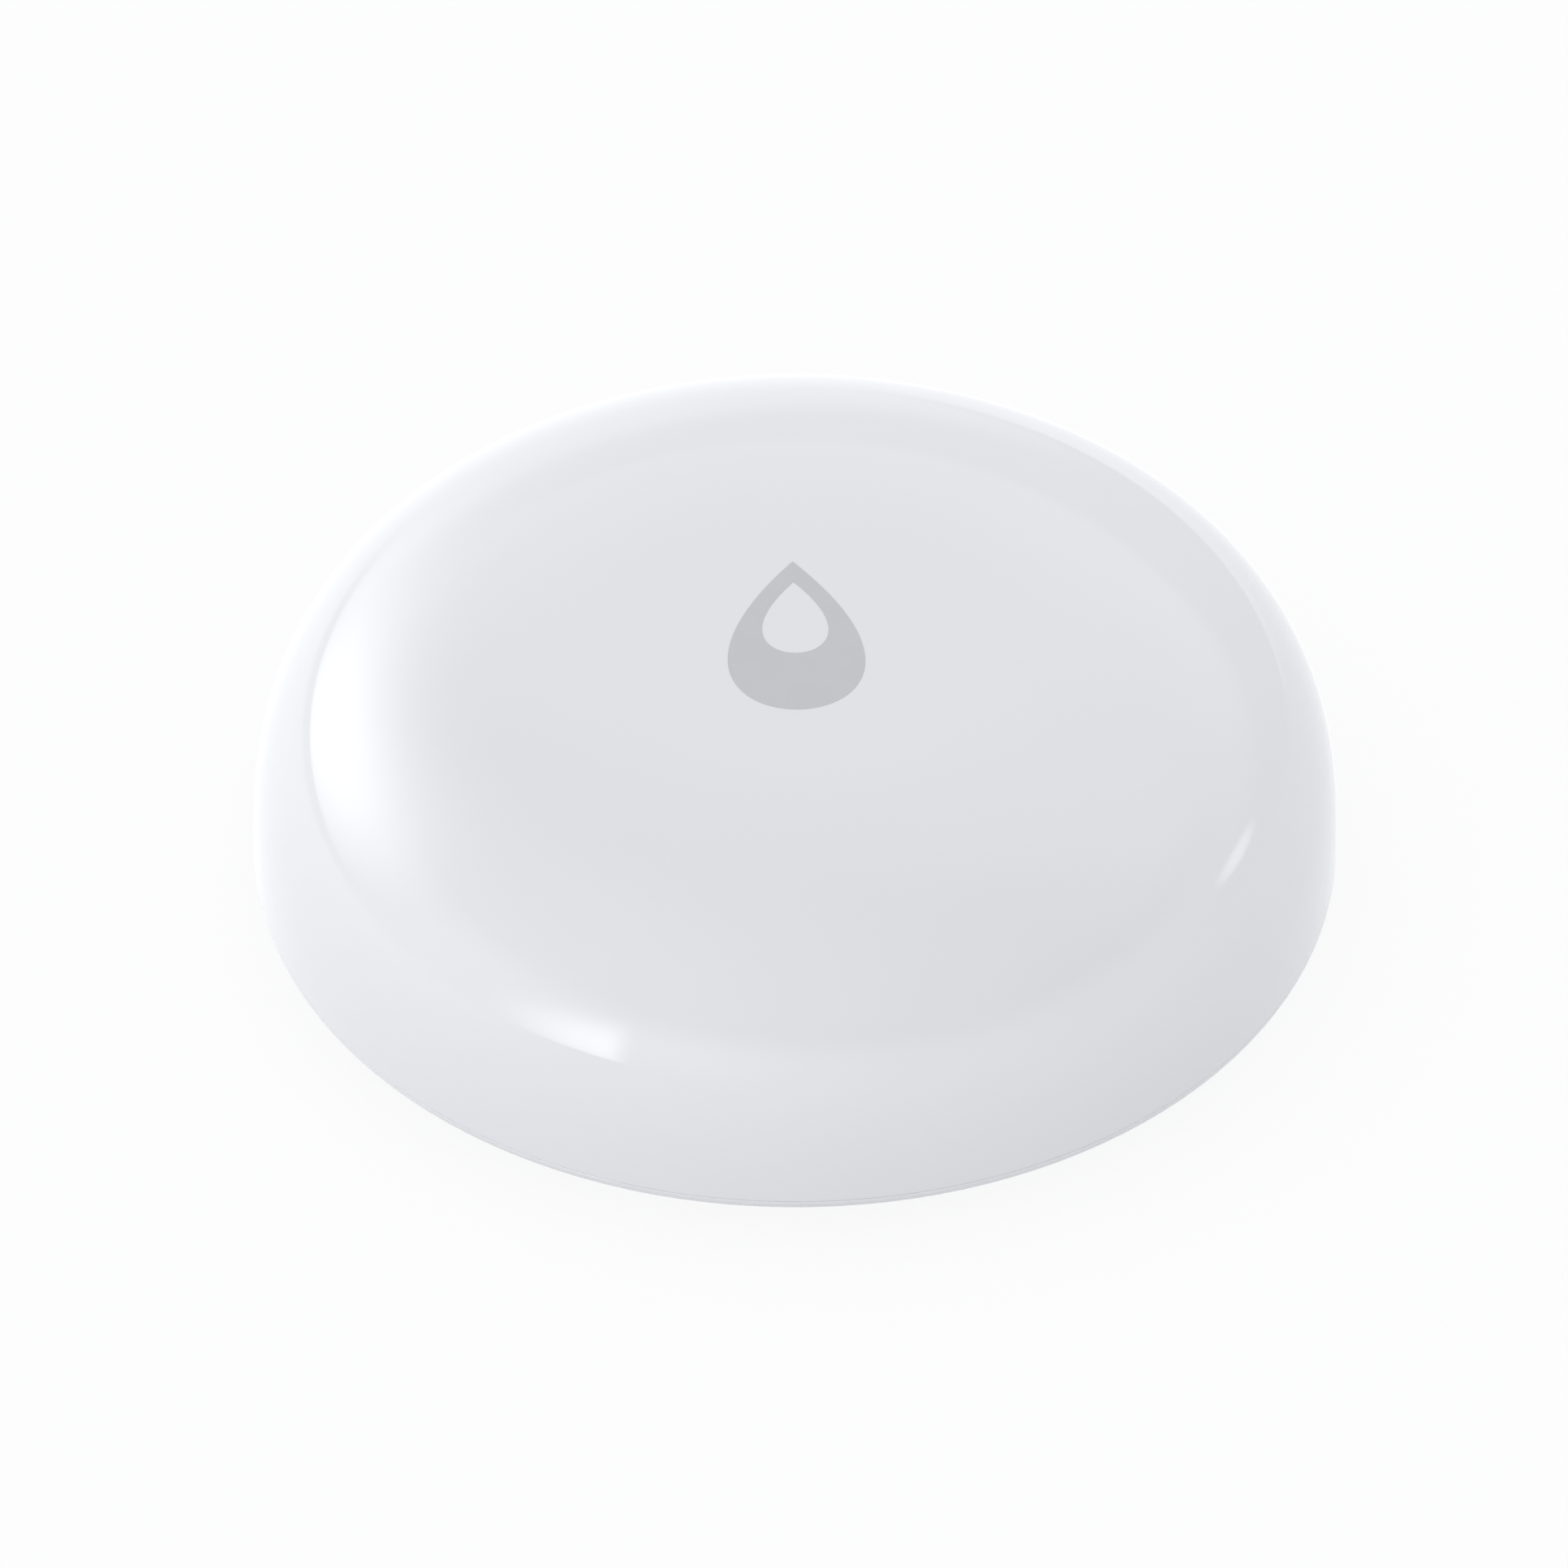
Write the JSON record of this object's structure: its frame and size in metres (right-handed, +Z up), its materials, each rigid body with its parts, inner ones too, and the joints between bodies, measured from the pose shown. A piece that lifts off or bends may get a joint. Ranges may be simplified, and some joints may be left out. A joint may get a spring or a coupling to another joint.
{
  "type": "water leak sensor",
  "caption": "Low round domed sensor puck with floor probes, a twist-off battery cover underneath and a radio board inside, which reports standing water.",
  "frame": {"origin": "on the floor under the middle of the puck", "axes": "+Z up through the dome's crown, +Y towards the tip of the drop mark, the probes on the X axis"},
  "size_m": [0.05, 0.05, 0.015],
  "materials": {
    "shell_gloss": "polished injection-moulded plastic, cool white",
    "mark_ink": "printed grey film",
    "base_plastic": "polished injection-moulded plastic, cool white",
    "cover_plastic": "fine-textured moulded plastic, cool white",
    "seal_rubber": "silicone seal",
    "probe_nickel": "nickel-plated turned brass",
    "insert_brass": "turned brass",
    "contact_metal": "tinned spring bronze",
    "board_laminate": "solder mask over glass laminate",
    "screw_steel": "zinc-plated steel",
    "chip_epoxy": "black moulding compound",
    "crystal_lid": "plated metal lid",
    "antenna_ceramic": "fired ceramic",
    "led_resin": "clear resin over a white package",
    "bulk_epoxy": "moulded epoxy",
    "capacitor_ceramic": "fired ceramic",
    "switch_plastic": "black moulded plastic",
    "plunger_plastic": "white moulded plastic",
    "cell_steel": "nickel-plated steel",
    "cell_pellet": "pressed powder pellet",
    "gasket_nylon": "moulded nylon"
  },
  "bodies": {
    "case": {"top_shell": "shell_gloss", "drop_mark": "mark_ink", "base_shell": "base_plastic", "shell_seal": "seal_rubber", "probe_screws": "probe_nickel", "probe_seals": "seal_rubber", "probe_inserts": "insert_brass", "probe_contacts": "contact_metal", "circuit_board": "board_laminate", "board_screws": "screw_steel", "radio_chip": "chip_epoxy", "crystal": "crystal_lid", "chip_antenna": "antenna_ceramic", "status_led": "led_resin", "bulk_capacitor": "bulk_epoxy", "capacitors": "capacitor_ceramic", "resistors": "chip_epoxy", "switch_housing": "switch_plastic", "switch_terminals": "contact_metal", "snap_disc": "screw_steel", "switch_frame": "screw_steel", "positive_contact": "contact_metal", "negative_contact": "contact_metal", "cell_can": "cell_steel", "cell_core": "cell_pellet", "cell_gasket": "gasket_nylon", "cell_cap": "cell_steel"},
    "cover": {"battery_cover": "cover_plastic", "cover_seal": "seal_rubber"},
    "plunger": {"switch_plunger": "plunger_plastic"}
  },
  "joints": [
    {"name": "cover_twist", "type": "hinge", "parent": "case", "child": "cover", "pos_m": [0, 0, 0.0005], "axis": [0, 0, -1], "range_deg": [0, 35]},
    {"name": "switch_press", "type": "slide", "parent": "case", "child": "plunger", "axis": [0, 0, -1], "range_m": [0, 0.00025], "stiffness_N_per_m": 4000, "deforming": ["snap_disc"]}
  ]
}
